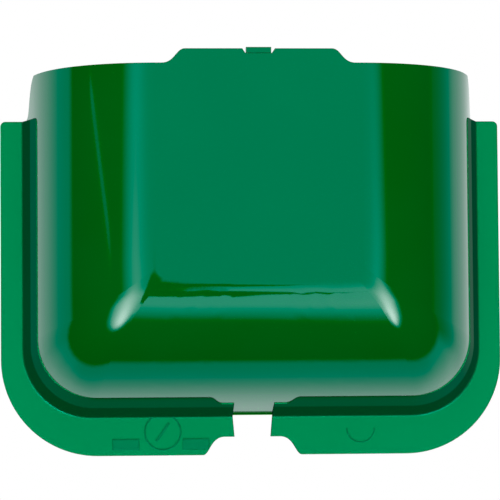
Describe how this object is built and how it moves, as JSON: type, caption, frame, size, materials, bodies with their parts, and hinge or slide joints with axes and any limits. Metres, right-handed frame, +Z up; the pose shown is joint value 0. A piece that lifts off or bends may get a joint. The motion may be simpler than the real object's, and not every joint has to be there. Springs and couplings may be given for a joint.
{
  "type": "wasp trap",
  "caption": "Wall-hung wasp trap: a glossy moulded catch pocket that slides up out of a flanged U frame, with a sealed back, hinged lid, entry cones and a lift-out bait cup.",
  "frame": {"origin": "midway between the two wall screw holes, on the wall face of the back plate", "axes": "+Z up, +Y towards the wall, +X to the right as seen from the room"},
  "size_m": [0.16, 0.0464, 0.1254],
  "materials": {
    "pocket_green": "glossy moulded polypropylene, deep green",
    "frame_green": "satin-gloss moulded polypropylene, green",
    "plate_green": "fine-textured moulded polypropylene, green",
    "milky_plastic": "natural milky polypropylene",
    "seal_rubber": "soft black foam rubber",
    "steel": "plain stainless steel",
    "lure_felt": "pressed felt, straw coloured"
  },
  "bodies": {
    "wall_bracket": {"back_plate": "plate_green", "clip_frame_left": "frame_green", "clip_frame_right": "frame_green"},
    "pocket": {"catch_pocket": "pocket_green", "rear_panel": "plate_green", "panel_seal": "seal_rubber", "panel_screws": "steel", "hinge_pins": "steel"},
    "lid": {"entry_lid": "pocket_green", "entry_cone_left": "milky_plastic", "entry_cone_right": "milky_plastic"},
    "bait_holder": {"bait_cup": "milky_plastic", "lure_pad": "lure_felt"},
    "vented_cap": {"bait_cap": "frame_green"}
  },
  "joints": [
    {"name": "pocket_lift", "type": "slide", "parent": "wall_bracket", "child": "pocket", "axis": [0, 0, 1], "range_m": [0, 0.1]},
    {"name": "lid_hinge", "type": "hinge", "parent": "pocket", "child": "lid", "pos_m": [0, -0.0136, 0.0038], "axis": [-1, 0, 0], "range_deg": [0, 90]},
    {"name": "cup_lift", "type": "slide", "parent": "lid", "child": "bait_holder", "axis": [0, 0, 1], "range_m": [0, 0.03]},
    {"name": "cap_lift", "type": "slide", "parent": "bait_holder", "child": "vented_cap", "axis": [0, 0, 1], "range_m": [0, 0.012]}
  ]
}
